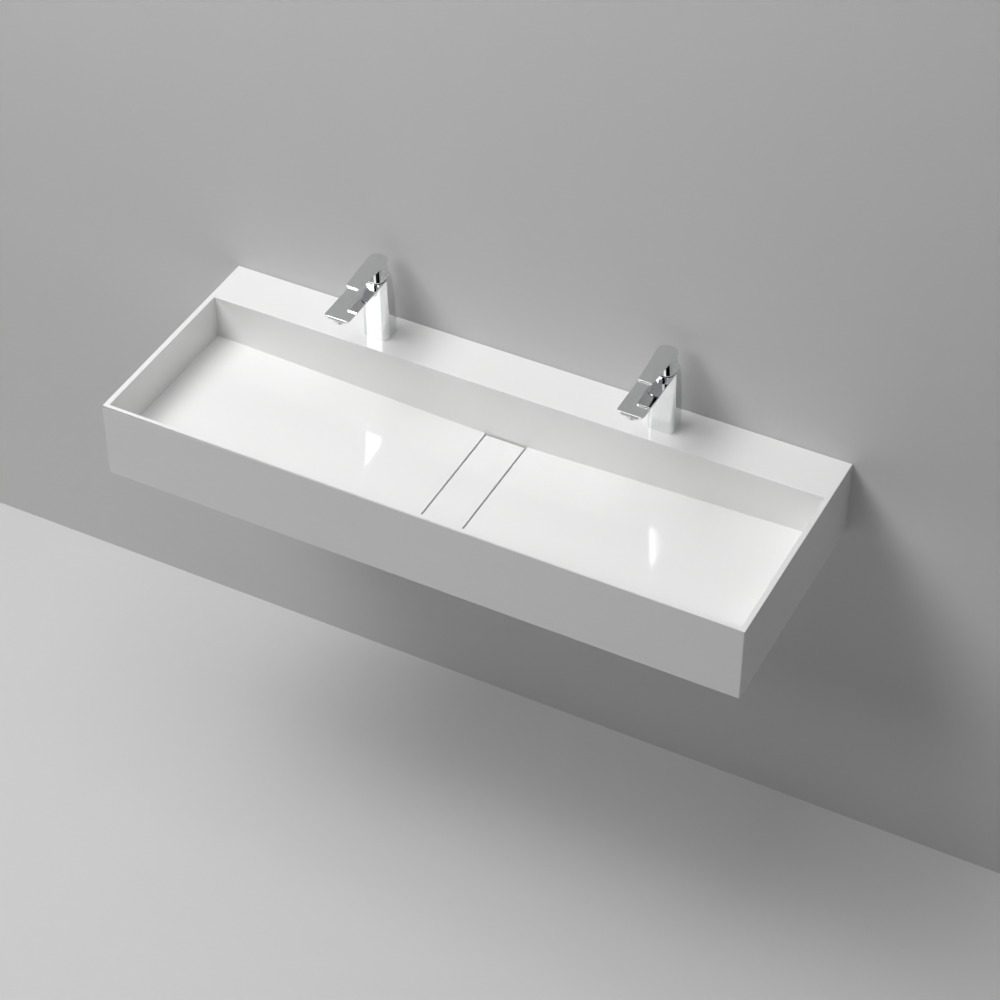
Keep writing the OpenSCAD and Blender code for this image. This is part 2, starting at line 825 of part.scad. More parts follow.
module cartridge_seals() {
    color("dimgray") at_spindle() {
        translate([0, 0, o_ring_z]) o_ring(chamber_r);
        at_ports() translate([0, 0, chamber_z + hairline]) difference() {
            cylinder(r = port_seal_r, h = seal_t - hairline);
            translate([0, 0, -e]) cylinder(r = port_r, h = seal_t + 2 * e);
        }
    }
}

// The ceramic disc that stays still: two supply ports and one outlet port
module fixed_disc() {
    color("white") at_spindle() difference() {
        translate([0, 0, fixed_disc_z]) cylinder(r = fixed_disc_r, h = fixed_disc_t);
        at_ports() translate([0, 0, fixed_disc_z - e])
            cylinder(r = disc_port_r, h = fixed_disc_t + 2 * e);
        translate([0, outlet_y, fixed_disc_z - e]) cylinder(r = disc_port_r, h = fixed_disc_t + 2 * e);
    }
}

// The ceramic disc that slides and turns: a mixing hollow below, a pocket above
module moving_disc() {
    color("whitesmoke") at_spindle() difference() {
        translate([0, 0, moving_disc_z]) cylinder(r = moving_disc_r, h = moving_disc_t);
        translate([0, 0, moving_disc_z - e]) cylinder(r = mix_r, h = mix_depth + e);
        translate([-pocket_w / 2, -pocket_d / 2, moving_disc_z + moving_disc_t - pocket_depth])
            cube([pocket_w, pocket_d, pocket_depth + e]);
    }
}

module cartridge_nut() {
    color("goldenrod") at_spindle() difference() {
        translate([0, 0, cartridge_top_z + hairline])
            cylinder(r = nut_r, h = nut_top_z - cartridge_top_z - hairline);
        translate([0, 0, cartridge_top_z - e])
            cylinder(r = nut_opening_r, h = nut_top_z - cartridge_top_z + 2 * e);
        for (i = [0:3])
            rotate(i * 90 + 45) translate([nut_r - nut_slot_d, -nut_slot_w / 2, nut_top_z - nut_slot_w])
                cube([nut_slot_d + e, nut_slot_w, nut_slot_w + e]);
    }
}

// The turning fork of the cartridge: a foot that the housing holds down, and two
// cheeks that carry the spindle's pivot
module spindle_carrier() {
    color("whitesmoke") at_spindle() difference() {
        union() {
            translate([0, 0, carrier_foot_z]) cylinder(r = carrier_foot_r, h = carrier_foot_t);
            translate([0, 0, carrier_foot_z]) cylinder(r = carrier_r, h = carrier_top_z - carrier_foot_z);
        }
        translate([-carrier_slot_w / 2, -carrier_window_d / 2, carrier_foot_z - e])
            cube([carrier_slot_w, carrier_window_d, carrier_top_z - carrier_foot_z + 2 * e]);
        translate([-carrier_slot_w / 2, -carrier_r - e, carrier_foot_z + carrier_foot_t])
            cube([carrier_slot_w, 2 * (carrier_r + e), carrier_top_z]);
        translate([-carrier_r - e, 0, pivot_z]) rotate([0, 90, 0])
            cylinder(r = pivot_pin_r, h = 2 * (carrier_r + e));
    }
}

module pivot_pin() {
    color("silver") at_spindle() translate([pin_recess - carrier_r, 0, pivot_z]) rotate([0, 90, 0])
        cylinder(r = pivot_pin_r, h = 2 * (carrier_r - pin_recess));
}

// The spindle: a bar under the lever, with a thin tip that pushes the moving disc
module spindle() {
    color("silver") at_spindle() difference() {
        union() {
            translate([-spindle_w / 2, -spindle_d / 2, spindle_z])
                cube([spindle_w, spindle_d, spindle_top_z - spindle_z]);
            translate([-spindle_w / 2, -spindle_tip_d / 2, spindle_tip_z])
                cube([spindle_w, spindle_tip_d, spindle_z - spindle_tip_z + e]);
        }
        translate([-spindle_w, 0, pivot_z]) rotate([0, 90, 0])
            cylinder(r = pivot_pin_r + running_gap, h = 2 * spindle_w);
    }
}

// The cap between the body and the lever plate, a block that narrows upwards
module cap_block() {
    loft([
        ring(cap_z, cap_w / 2, cap_front, cap_back, cap_corner_r, cap_corner_r),
        for (z = [lever_z, lever_z + lever_t / 2])
            ring(z, cap_top_w / 2, cap_top_front, cap_top_back, cap_top_front_r, cap_corner_r)
    ]);
}

// The plate's outline: narrow and nearly square in front, round behind
module lever_outline() {
    front_half = lever_front_w / 2;
    rear_half = lever_rear_w / 2;
    rear_y = lever_back - lever_corner_r;
    polygon([
        [-front_half, -lever_front + lever_tip_r],
        [front_half, -lever_front + lever_tip_r],
        [rear_half, rear_y],
        [-rear_half, rear_y]
    ]);
    translate([-front_half + lever_tip_r, -lever_front])
        square([lever_front_w - 2 * lever_tip_r, 2 * lever_tip_r]);
    for (side = [-1, 1]) {
        translate([side * (front_half - lever_tip_r), -lever_front + lever_tip_r]) circle(lever_tip_r);
        translate([side * (rear_half - lever_corner_r), rear_y]) circle(lever_corner_r);
    }
    translate([-rear_half + lever_corner_r, rear_y])
        square([2 * (rear_half - lever_corner_r), lever_corner_r]);
}

// The lever: a flat plate on the cap, whose underside is cut away behind the
// spindle so that it can tip back
module lever() {
    relief_l = 2 * cap_back;
    relief_rise = relief_l * tan(relief_angle);
    color("gainsboro") at_spindle() difference() {
        union() {
            cap_block();
            translate([0, 0, lever_z]) linear_extrude(lever_t) lever_outline();
        }
        along_x(2 * cap_w) polygon([
            [relief_y, cap_z],
            [relief_y + relief_l, cap_z + relief_rise],
            [relief_y + relief_l, cap_z - e],
            [relief_y, cap_z - e]
        ]);
        translate([-spindle_w / 2 - fit_gap, -spindle_d / 2 - fit_gap, cap_z - e])
            cube([spindle_w + 2 * fit_gap, spindle_d + 2 * fit_gap, spindle_top_z - cap_z + e + play]);
        translate([spindle_w / 2, grub_y, grub_z]) rotate([0, 90, 0]) cylinder(r = grub_r, h = cap_w);
        translate([plug_x, grub_y, grub_z]) rotate([0, 90, 0]) cylinder(r = plug_r, h = cap_w);
    }
}

module grub_screw() {
    color("silver") at_spindle() translate([spindle_w / 2, grub_y, grub_z]) rotate([0, 90, 0])
        difference() {
            cylinder(r = grub_r, h = grub_l);
            translate([0, 0, grub_l - grub_socket_l])
                cylinder(r = grub_socket_r, h = grub_socket_l + e, $fn = 6);
        }
}

module screw_plug() {
    color("gainsboro") at_spindle() intersection() {
        cap_block();
        translate([plug_x, grub_y, grub_z]) rotate([0, 90, 0])
            cylinder(r = plug_r - fit_gap, h = cap_w);
    }
}

module stud() {
    color("silver") translate([0, stud_y, -stud_l])
        cylinder(r = stud_r - fit_gap, h = stud_l + stud_depth - stud_end_gap);
}

// A horseshoe that clamps the tap from under the ledge, open where the inlets pass
module horseshoe(thickness) {
    difference() {
        cylinder(r = clamp_r, h = thickness);
        translate([-hose_slot_w / 2, -clamp_r - e, -e])
            cube([hose_slot_w, clamp_r + e + hose_slot_back, thickness + 2 * e]);
        translate([0, stud_y, -e]) cylinder(r = stud_r + play, h = thickness + 2 * e);
    }
}

module clamp_seal() {
    color("dimgray") translate([0, 0, -ledge_t - clamp_seal_t]) horseshoe(clamp_seal_t);
}

module clamp_plate() {
    color("silver") translate([0, 0, -ledge_t - clamp_seal_t - clamp_t]) horseshoe(clamp_t);
}

module stud_nut() {
    color("goldenrod") translate([0, stud_y, -ledge_t - clamp_seal_t - clamp_t - nut_h]) difference() {
        cylinder(r = nut_af_r, h = nut_h, $fn = 6);
        translate([0, 0, -e]) cylinder(r = stud_r, h = nut_h + 2 * e);
    }
}

// ----------------------------------------------------------------- nodes

basin();
drain_cover();
waste_flange();
waste_flange_seal();
waste_screw();
waste_gasket();
waste_tailpiece();
translate([-bracket_x, 0, 0]) bracket();  // left_bracket
translate([bracket_x, 0, 0]) bracket();  // right_bracket
bracket_pads();
bracket_screws();
bracket_washers();
threaded_inserts();
at_tap(-1) tap_body();  // left_tap_body
at_tap(-1) base_seal();  // left_base_seal
at_tap(-1) aerator_housing();  // left_aerator_housing
at_tap(-1) aerator_insert();  // left_aerator_insert
at_tap(-1) cartridge_base();  // left_cartridge_base
at_tap(-1) cartridge_housing();  // left_cartridge_housing
at_tap(-1) cartridge_seals();  // left_cartridge_seals
at_tap(-1) fixed_disc();  // left_fixed_disc
at_tap(-1) moving_disc();  // left_moving_disc
at_tap(-1) cartridge_nut();  // left_cartridge_nut
at_tap(-1) spindle_carrier();  // left_spindle_carrier
at_tap(-1) pivot_pin();  // left_pivot_pin
at_tap(-1) spindle();  // left_spindle
at_tap(-1) lever();  // left_lever
at_tap(-1) grub_screw();  // left_grub_screw
at_tap(-1) screw_plug();  // left_screw_plug
at_tap(-1) stud();  // left_stud
at_tap(-1) clamp_seal();  // left_clamp_seal
at_tap(-1) clamp_plate();  // left_clamp_plate
at_tap(-1) stud_nut();  // left_stud_nut
at_tap(1) tap_body();  // right_tap_body
at_tap(1) base_seal();  // right_base_seal
at_tap(1) aerator_housing();  // right_aerator_housing
at_tap(1) aerator_insert();  // right_aerator_insert
at_tap(1) cartridge_base();  // right_cartridge_base
at_tap(1) cartridge_housing();  // right_cartridge_housing
at_tap(1) cartridge_seals();  // right_cartridge_seals
at_tap(1) fixed_disc();  // right_fixed_disc
at_tap(1) moving_disc();  // right_moving_disc
at_tap(1) cartridge_nut();  // right_cartridge_nut
at_tap(1) spindle_carrier();  // right_spindle_carrier
at_tap(1) pivot_pin();  // right_pivot_pin
at_tap(1) spindle();  // right_spindle
at_tap(1) lever();  // right_lever
at_tap(1) grub_screw();  // right_grub_screw
at_tap(1) screw_plug();  // right_screw_plug
at_tap(1) stud();  // right_stud
at_tap(1) clamp_seal();  // right_clamp_seal
at_tap(1) clamp_plate();  // right_clamp_plate
at_tap(1) stud_nut();  // right_stud_nut
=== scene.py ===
import math

import bmesh
import bpy
from mathutils import Matrix, Vector


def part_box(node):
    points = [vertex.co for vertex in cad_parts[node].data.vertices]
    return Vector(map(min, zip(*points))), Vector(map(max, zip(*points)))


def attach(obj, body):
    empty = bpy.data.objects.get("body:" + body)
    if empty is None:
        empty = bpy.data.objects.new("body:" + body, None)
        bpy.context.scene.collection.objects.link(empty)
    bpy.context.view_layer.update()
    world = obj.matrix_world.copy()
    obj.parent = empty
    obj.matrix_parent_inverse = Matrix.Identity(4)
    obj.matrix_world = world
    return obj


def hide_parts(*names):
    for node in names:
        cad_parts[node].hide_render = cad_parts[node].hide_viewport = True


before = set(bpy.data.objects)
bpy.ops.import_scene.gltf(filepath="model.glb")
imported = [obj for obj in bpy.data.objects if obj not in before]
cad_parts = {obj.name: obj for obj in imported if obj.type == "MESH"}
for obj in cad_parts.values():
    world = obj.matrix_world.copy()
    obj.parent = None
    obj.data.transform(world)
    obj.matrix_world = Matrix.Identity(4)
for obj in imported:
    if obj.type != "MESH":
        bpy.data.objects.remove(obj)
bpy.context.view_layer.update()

# A wall-hung trough sink with two single-lever taps. Metres; +Z is up, the wall is
# the plane y = 0 and the front faces -Y. The taps' bodies and levers are modelled
# here, and every other piece keeps its CAD mesh and gets a finish.

SIDES = ("left", "right")


# ------------------------------------------------------------------ sizes

MM = 0.001
CORNER_STEPS = 10      # steps round each corner of an outline
ROUND_STEPS = 96       # sides of a bore or a turned piece
EDGE_STEPS = 4         # steps round a soft edge
COLUMN_STEPS = 24      # levels up a tap's column
BELLY_STEPS = 56       # levels up the sweep under a spout
EDGE_R = 0.9 * MM      # rounding of the tap's outer edges
CUT = 1 * MM           # how far a cutting shape runs past what it cuts

# Tap body, from the middle of its foot
BODY_W = 51 * MM
BODY_D = 44 * MM
BODY_CORNER_R = 11 * MM
FOOT_EDGE = 0.4 * MM
TOP_IN = 13 * MM       # how far the back leans forward at the top
BELLY_H = 43 * MM      # height of the sweep from the body's front to the spout
BELLY_FLAT = 40 * MM   # first guide of the sweep, behind the spout's tip
BELLY_FLAT_FALL = 3 * MM
BELLY_LEAD = 1.5 * MM  # second guide, in front of the body
BELLY_FALL = 7 * MM
BELLY_SINK = 0.2 * MM  # how far the sweep starts inside the body
SPOUT_T = 7 * MM
SPOUT_W = 49.5 * MM
SPOUT_BACK = 8 * MM    # how far the spout runs back into the column
SPOUT_SIDE_IN = 0.8    # how far the spout's sides slope in, for each unit down
SPOUT_KEEL_W = 18 * MM
SPOUT_CORNER_R = 7 * MM

# Openings of the tap body
AERATOR_BACK = 16 * MM
BOSS_T = 2.8 * MM
BOSS_RIM = 0.5 * MM
BOSS_SINK = 2 * MM     # how far the boss ends below the spout's top
NECK_IN = 1.5 * MM     # the aerator's neck against its ring
NECK_L = 3.4 * MM
BODY_LIP = 0.4 * MM    # chamfer of the boss and of the cartridge's mouth
CHAMBER_PLAY = 0.1 * MM
SEAL_PLAY = 0.2 * MM
SEAL_INNER_R = 17.6 * MM
INLET_X = 9 * MM
INLET_Y = -8 * MM
INLET_R = 4.6 * MM
INLET_L = 16 * MM
STUD_Y = 11 * MM
STUD_R = 4 * MM
STUD_L = 18 * MM

# Lever, from the spindle's axis
CAP_W = 46 * MM
CAP_TOP_W = 34 * MM
CAP_Y = (-27 * MM, 14 * MM)
CAP_TOP_Y = (-18 * MM, 15 * MM)
CAP_FRONT_R = 14 * MM
CAP_BACK_R = 10 * MM
CAP_EDGE = 0.6 * MM
CAP_SHARES = (0.04, 0.06, 0.12, 0.25, 0.5, 0.75, 0.95, 1.0)  # levels up the cap
PLATE_T = 4.5 * MM
PLATE_REAR_W = 38 * MM
PLATE_FRONT_W = 25 * MM
PLATE_Y = (-84 * MM, 22 * MM)
PLATE_REAR_R = 15 * MM
PLATE_TIP_R = 3 * MM
RELIEF_Y = -3 * MM     # where the cap's lower edge starts to slope up to the back
RELIEF_SLOPE = math.tan(math.radians(18.5))
SOCKET_PLAY = 0.05 * MM
SOCKET_TOP_PLAY = 0.3 * MM
PLUG_UP = 9.5 * MM     # height of the plug's middle above the cap's lower edge
PLUG_Y = -1.5 * MM
PLUG_R = 4 * MM
PLUG_FACE = 15.5 * MM
PLUG_LIP = 0.35 * MM
GROOVE_R = 6.4 * MM    # the fine groove round the plug
GROOVE_W = 0.9 * MM
GROOVE_DEPTH = 0.25 * MM


# --------------------------------------------------------------- materials

class Finish:
    """One procedural material, built round its Principled shader."""

    def __init__(self, name, **constants):
        self.material = bpy.data.materials.new(name)
        self.material.use_nodes = True
        self.tree = self.material.node_tree
        self.shader = self.tree.nodes["Principled BSDF"]
        for socket, value in constants.items():
            self.shader.inputs[socket.replace("_", " ")].default_value = value
        self.place = self.add("ShaderNodeTexCoord").outputs["Object"]

    def add(self, kind, inputs=(), **settings):
        node = self.tree.nodes.new(kind)
        for key, value in settings.items():
            setattr(node, key, value)
        for socket, value in dict(inputs).items():
            if isinstance(value, bpy.types.NodeSocket):
                self.tree.links.new(value, node.inputs[socket])
            else:
                node.inputs[socket].default_value = value
        return node

    def noise(self, scale, detail=4.0, rough=0.55, stretch=(1, 1, 1)):
        """A noise from 0 to 1, of scale cells a metre, stretched along the axes."""
        mapping = self.add("ShaderNodeMapping", {"Vector": self.place, "Scale": stretch})
        inputs = {
            "Vector": mapping.outputs["Vector"], "Scale": scale,
            "Detail": detail, "Roughness": rough,
        }
        return self.add("ShaderNodeTexNoise", inputs).outputs["Fac"]

    def spread(self, value, low, high, start=0.3, end=0.7):
        """Maps a value between start and end onto the range from low to high."""
        inputs = {"Value": value, "From Min": start, "From Max": end, "To Min": low, "To Max": high}
        return self.add("ShaderNodeMapRange", inputs).outputs["Result"]

    def colour(self, value, low, high):
        """Sets the base colour, from low to high as the value goes from 0 to 1."""
        inputs = {0: value, 6: (*low, 1), 7: (*high, 1)}
        mix = self.add("ShaderNodeMix", inputs, data_type="RGBA")
        self.link(mix.outputs[2], "Base Color")

    def link(self, output, socket):
        self.tree.links.new(output, self.shader.inputs[socket])

    def bump(self, height, depth, strength=1.0, under=None):
        """A relief of this depth, which may lie over another one."""
        inputs = {"Height": height, "Distance": depth, "Strength": strength}
        if under is not None:
            inputs["Normal"] = under
        return self.add("ShaderNodeBump", inputs).outputs["Normal"]


def solid_surface(name):
    """Cast white solid surface, polished to a mirror gloss."""
    f = Finish(name, IOR=1.5)
    cloud = f.noise(2.2, 3)
    grain = f.noise(2600, 2)
    mottle = f.add("ShaderNodeMath", {0: cloud, 1: grain}, operation="MULTIPLY").outputs[0]
    f.colour(f.spread(mottle, 0, 1, 0.12, 0.4), (0.848, 0.848, 0.844), (0.868, 0.868, 0.864))
    f.link(f.spread(f.noise(9, 5), 0.055, 0.095), "Roughness")
    peel = f.bump(f.noise(38, 2), 0.02 * MM)
    f.link(f.bump(grain, 0.0015 * MM, under=peel), "Normal")
    return f.material


def chrome(name):
    """Bright chrome plate with faint wiping marks."""
    f = Finish(name, Metallic=1.0)
    smear = f.noise(60, 6, 0.6, (1, 0.35, 1))
    f.colour(f.spread(smear, 0, 1), (0.80, 0.81, 0.82), (0.86, 0.865, 0.87))
    f.link(f.spread(smear, 0.02, 0.05), "Roughness")
    f.link(f.bump(f.noise(180, 3), 0.004 * MM), "Normal")
    return f.material


def steel(name):
    """Brushed stainless steel."""
    f = Finish(name, Metallic=1.0)
    brush = f.noise(900, 3, 0.6, (1, 1, 0.03))
    stain = f.noise(35, 4)
    f.colour(f.spread(brush, 0, 1), (0.52, 0.52, 0.52), (0.68, 0.68, 0.67))
    f.link(f.spread(stain, 0.22, 0.38), "Roughness")
    f.link(f.bump(brush, 0.01 * MM), "Normal")
    return f.material


def painted_steel(name):
    """Grey powder coat with a fine orange peel."""
    f = Finish(name)
    f.colour(f.spread(f.noise(14, 5), 0, 1), (0.50, 0.51, 0.52), (0.58, 0.59, 0.60))
    f.link(f.spread(f.noise(40, 3), 0.38, 0.52), "Roughness")
    f.link(f.bump(f.noise(700, 2), 0.04 * MM), "Normal")
    return f.material


def brass(name):
    """Turned brass with fine tool marks."""
    f = Finish(name, Metallic=1.0)
    lines = f.noise(1400, 2, 0.5, (0.05, 0.05, 1))
    f.colour(f.spread(f.noise(70, 4), 0, 1), (0.70, 0.53, 0.26), (0.83, 0.67, 0.36))
    f.link(f.spread(lines, 0.2, 0.36), "Roughness")
    f.link(f.bump(lines, 0.01 * MM), "Normal")
    return f.material


def rubber(name):
    """Matt black rubber, a little dusty."""
    f = Finish(name)
    f.colour(f.spread(f.noise(50, 5), 0, 1), (0.028, 0.028, 0.03), (0.055, 0.055, 0.055))
    f.link(f.spread(f.noise(220, 3), 0.6, 0.85), "Roughness")
    f.link(f.bump(f.noise(900, 3), 0.03 * MM), "Normal")
    return f.material


def white_plastic(name):
    """Moulded white plastic with a satin face."""
    f = Finish(name)
    f.colour(f.spread(f.noise(40, 3), 0, 1), (0.79, 0.79, 0.77), (0.85, 0.85, 0.83))
    f.link(f.spread(f.noise(120, 3), 0.3, 0.44), "Roughness")
    f.link(f.bump(f.noise(1100, 2), 0.01 * MM), "Normal")
    return f.material


def ceramic(name):
    """Lapped alumina: smooth, with a trace of its grain."""
    f = Finish(name)
    f.colour(f.spread(f.noise(1500, 2), 0, 1), (0.86, 0.86, 0.83), (0.93, 0.93, 0.9))
    f.link(f.spread(f.noise(300, 3), 0.12, 0.22), "Roughness")
    f.link(f.bump(f.noise(1500, 2), 0.003 * MM), "Normal")
    return f.material


FINISHES = {
    "solid_surface": solid_surface("solid_surface_gloss"),
    "solid_surface_cover": solid_surface("solid_surface_cover_gloss"),
    "chrome": chrome("chrome_plate"),
    "steel": steel("brushed_steel"),
    "painted_steel": painted_steel("powder_coat"),
    "brass": brass("turned_brass"),
    "rubber": rubber("black_rubber"),
    "white_plastic": white_plastic("moulded_plastic"),
    "ceramic": ceramic("lapped_ceramic"),
}

# Rounding of the edges of each material's CAD pieces
EDGE_ROUNDING = {
    "solid_surface": 1.0 * MM,
    "solid_surface_cover": 0.8 * MM,
    "painted_steel": 0.8 * MM,
    "chrome": 0.5 * MM,
    "steel": 0.3 * MM,
    "brass": 0.3 * MM,
    "rubber": 0.3 * MM,
    "white_plastic": 0.25 * MM,
    "ceramic": 0.2 * MM,
}

WELD = 0.005 * MM      # points of a CAD mesh that are closer than this are one
PLANE_ANGLE = math.radians(0.5)
BEVEL_ANGLE = math.radians(35)
BEVEL_SEGMENTS = 3
SHARP_ANGLE = math.radians(32)


def joined_surface():
    """Nodes that join a CAD mesh's split faces and shade them smooth."""
    group = bpy.data.node_groups.new("joined_surface", "GeometryNodeTree")
    group.interface.new_socket("Geometry", in_out="INPUT", socket_type="NodeSocketGeometry")
    group.interface.new_socket("Geometry", in_out="OUTPUT", socket_type="NodeSocketGeometry")
    kinds = [
        "NodeGroupInput", "GeometryNodeMergeByDistance", "GeometryNodeRemoveAttribute",
        "GeometryNodeSetShadeSmooth", "NodeGroupOutput",
    ]
    chain = [group.nodes.new(kind) for kind in kinds]
    for before, after in zip(chain, chain[1:]):
        group.links.new(before.outputs[0], after.inputs[0])
    chain[1].inputs["Distance"].default_value = WELD
    chain[2].inputs["Name"].default_value = "custom_normal"
    return group


JOINED_SURFACE = joined_surface()


def dress(node):
    """Gives a CAD node its finish and soft edges."""
    names = [slot.material.name.split(".")[0] for slot in node.material_slots]
    for slot, name in zip(node.material_slots, names):
        slot.material = FINISHES[name]
    node.modifiers.new("Joined", "NODES").node_group = JOINED_SURFACE
    planes = node.modifiers.new("Planes", "DECIMATE")
    planes.decimate_type = "DISSOLVE"
    planes.angle_limit = PLANE_ANGLE
    bevel = node.modifiers.new("Bevel", "BEVEL")
    bevel.width = EDGE_ROUNDING[names[0]]
    bevel.segments = BEVEL_SEGMENTS
    bevel.limit_method = "ANGLE"
    bevel.angle_limit = BEVEL_ANGLE
    bevel.use_clamp_overlap = False
    normals = node.modifiers.new("Normals", "WEIGHTED_NORMAL")
    normals.weight = 100


for cad_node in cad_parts.values():
    dress(cad_node)


# ------------------------------------------------------------ mesh helpers

def outline(corners, inset=0.0):
    """Points round a convex outline with round corners, drawn in by inset.
    corners lists (x, y, radius) anticlockwise."""
    points = []
    count = len(corners)
    for i, (x, y, radius) in enumerate(corners):
        here = Vector((x, y))
        before = Vector(corners[i - 1][:2])
        after = Vector(corners[(i + 1) % count][:2])
        edge_in = (here - before).normalized()
        edge_out = (after - here).normalized()
        normal_in = Vector((edge_in.y, -edge_in.x))
        normal_out = Vector((edge_out.y, -edge_out.x))
        middle = here - radius * (normal_in + normal_out) / (1 + normal_in.dot(normal_out))
        start = math.atan2(normal_in.y, normal_in.x)
        turn = math.acos(max(-1, min(1, normal_in.dot(normal_out))))
        for k in range(CORNER_STEPS + 1):
            a = start + turn * k / CORNER_STEPS
            points.append(middle + (radius - inset) * Vector((math.cos(a), math.sin(a))))
    return points


def box_outline(half_w, front, back, front_r, back_r, inset=0.0):
    """A rectangle across the tap, with one radius in front and one behind."""
    corners = [
        (half_w, front, front_r), (half_w, back, back_r),
        (-half_w, back, back_r), (-half_w, front, front_r),
    ]
    return outline(corners, inset)


def quarter_arc():
    """(sine, fall of the cosine) of angles from 0 to a right angle, for soft edges."""
    angles = [math.pi / 2 * k / EDGE_STEPS for k in range(EDGE_STEPS + 1)]
    return [(math.sin(a), 1 - math.cos(a)) for a in angles]


def loft(name, rings):
    """A closed mesh through rings of 3-D points, listed from the bottom up."""
    mesh = bpy.data.meshes.new(name)
    bm = bmesh.new()
    rows = [[bm.verts.new(p) for p in ring] for ring in rings]
    count = len(rows[0])
    for low, high in zip(rows, rows[1:]):
        for i in range(count):
            j = (i + 1) % count
            bm.faces.new((low[i], low[j], high[j], high[i]))
    bm.faces.new(reversed(rows[0]))
    bm.faces.new(rows[-1])
    bmesh.ops.recalc_face_normals(bm, faces=bm.faces)
    bm.to_mesh(mesh)
    bm.free()
    piece = bpy.data.objects.new(name, mesh)
    bpy.context.scene.collection.objects.link(piece)
    return piece


def level(points, z):
    """An outline, laid at one height."""
    return [Vector((p.x, p.y, z)) for p in points]


def turned(name, profile, place=(0, 0, 0), axis="Z"):
    """A solid of revolution: profile lists (radius, distance along the axis)."""
    rings = []
    for radius, along in profile:
        ring = []
        for k in range(ROUND_STEPS):
            a = 2 * math.pi * k / ROUND_STEPS
            x, y = radius * math.cos(a), radius * math.sin(a)
            spot = Vector((x, y, along)) if axis == "Z" else Vector((along, x, y))
            ring.append(spot + Vector(place))
        rings.append(ring)
    return loft(name, rings)


def round_bar(name, radius, start, end, place=(0, 0, 0), axis="Z"):
    """A plain cylinder, to cut a hole with."""
    return turned(name, [(radius, start), (radius, end)], place, axis)


def prism(name, half_w, profile):
    """A prism across the tap: profile lists (y, z)."""
    rings = [[Vector((x, y, z)) for y, z in profile] for x in (-half_w, half_w)]
    return loft(name, rings)


def combine(piece, other, operation):
    """Joins another closed mesh to a piece, or cuts it out, and removes the other."""
    modifier = piece.modifiers.new("Boolean", "BOOLEAN")
    modifier.operation = operation
    modifier.solver = "EXACT"
    modifier.object = other
    depsgraph = bpy.context.evaluated_depsgraph_get()
    depsgraph.update()
    result = bpy.data.meshes.new_from_object(piece.evaluated_get(depsgraph))
    piece.modifiers.clear()
    piece.data = result
    bpy.data.objects.remove(other)


def join(piece, other):
    combine(piece, other, "UNION")


def cut(piece, other):
    combine(piece, other, "DIFFERENCE")


def finish_piece(piece, place, material, body, replaced):
    """Places a modelled piece, shades it and lets it ride in its node's stead."""
    piece.location = place
    piece.data.materials.clear()
    piece.data.materials.append(FINISHES[material])
    for polygon in piece.data.polygons:
        polygon.use_smooth = True
    piece.data.set_sharp_from_angle(angle=SHARP_ANGLE)
    normals = piece.modifiers.new("Normals", "WEIGHTED_NORMAL")
    normals.keep_sharp = True
    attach(piece, body)
    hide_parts(replaced)


# --------------------------------------------------------------- tap bodies

def bezier(points, t):
    """The point at t, from 0 to 1, on a cubic curve with four guides."""
    a, b, c, d = (Vector(p) for p in points)
    s = 1 - t
    return s ** 3 * a + 3 * s * s * t * b + 3 * s * t * t * c + t ** 3 * d


def column_levels(height, top_half):
    """(z, half width, front, back, corner radius, inset) up the tap's upright part."""
    spots = [(0.0, FOOT_EDGE), (FOOT_EDGE, 0.0)]
    spots += [((height - EDGE_R) * k / COLUMN_STEPS, 0.0) for k in range(1, COLUMN_STEPS)]
    spots += [(height - EDGE_R * (1 - sine), EDGE_R * fall) for sine, fall in quarter_arc()]
    levels = []
    for z, inset in spots:
        half = BODY_W / 2 + (top_half - BODY_W / 2) * z / height
        back = BODY_D / 2 - TOP_IN * (z / height) ** 2
        levels.append((z, half, -BODY_D / 2, back, BODY_CORNER_R, inset))
    return levels


def spout_levels(height, reach, top_half):
    """The same for the spout: its underside sweeps down to the column, and its
    sides slope in under a round edge to a narrow keel."""
    under = height - SPOUT_T
    slope = math.atan(SPOUT_SIDE_IN)
    edge_z = height - EDGE_R * (1 + math.sin(slope))
    edge_half = top_half - EDGE_R * (1 - math.cos(slope))

    def half(z):
        if z >= height - EDGE_R:
            return top_half
        if z >= edge_z:
            return top_half - EDGE_R + math.sqrt(EDGE_R ** 2 - (height - EDGE_R - z) ** 2)
        return max(SPOUT_KEEL_W / 2, edge_half - SPOUT_SIDE_IN * (edge_z - z))

    guides = [
        (-reach + EDGE_R, under), (-reach + BELLY_FLAT, under - BELLY_FLAT_FALL),
        (-BODY_D / 2 - BELLY_LEAD, under - BELLY_FALL),
        (-BODY_D / 2 + BELLY_SINK, height - BELLY_H),
    ]
    spots = []
    for k in range(BELLY_STEPS + 1):
        y, z = bezier(guides, 1 - k / BELLY_STEPS)
        spots.append((z, y, 0.0))
    for sine, fall in quarter_arc()[1:]:
        spots.append((under + EDGE_R * fall, -reach + EDGE_R * (1 - sine), 0.0))
    for z in (height - 2.5 * EDGE_R, edge_z, height - 1.3 * EDGE_R):
        spots.append((z, -reach, 0.0))
    for sine, fall in quarter_arc():
        spots.append((height - EDGE_R * (1 - sine), -reach, EDGE_R * fall))
    return [(z, half(z), y, SPOUT_BACK, SPOUT_CORNER_R, inset) for z, y, inset in spots]


def level_loft(name, levels):
    """A closed mesh through the levels of a column or a spout."""
    return loft(name, [
        level(box_outline(half, front, back, radius, radius, inset), z)
        for z, half, front, back, radius, inset in levels
    ])


def box_radius(node):
    """Radius of a round, upright CAD node."""
    low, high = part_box(node)
    return (high.x - low.x) / 2


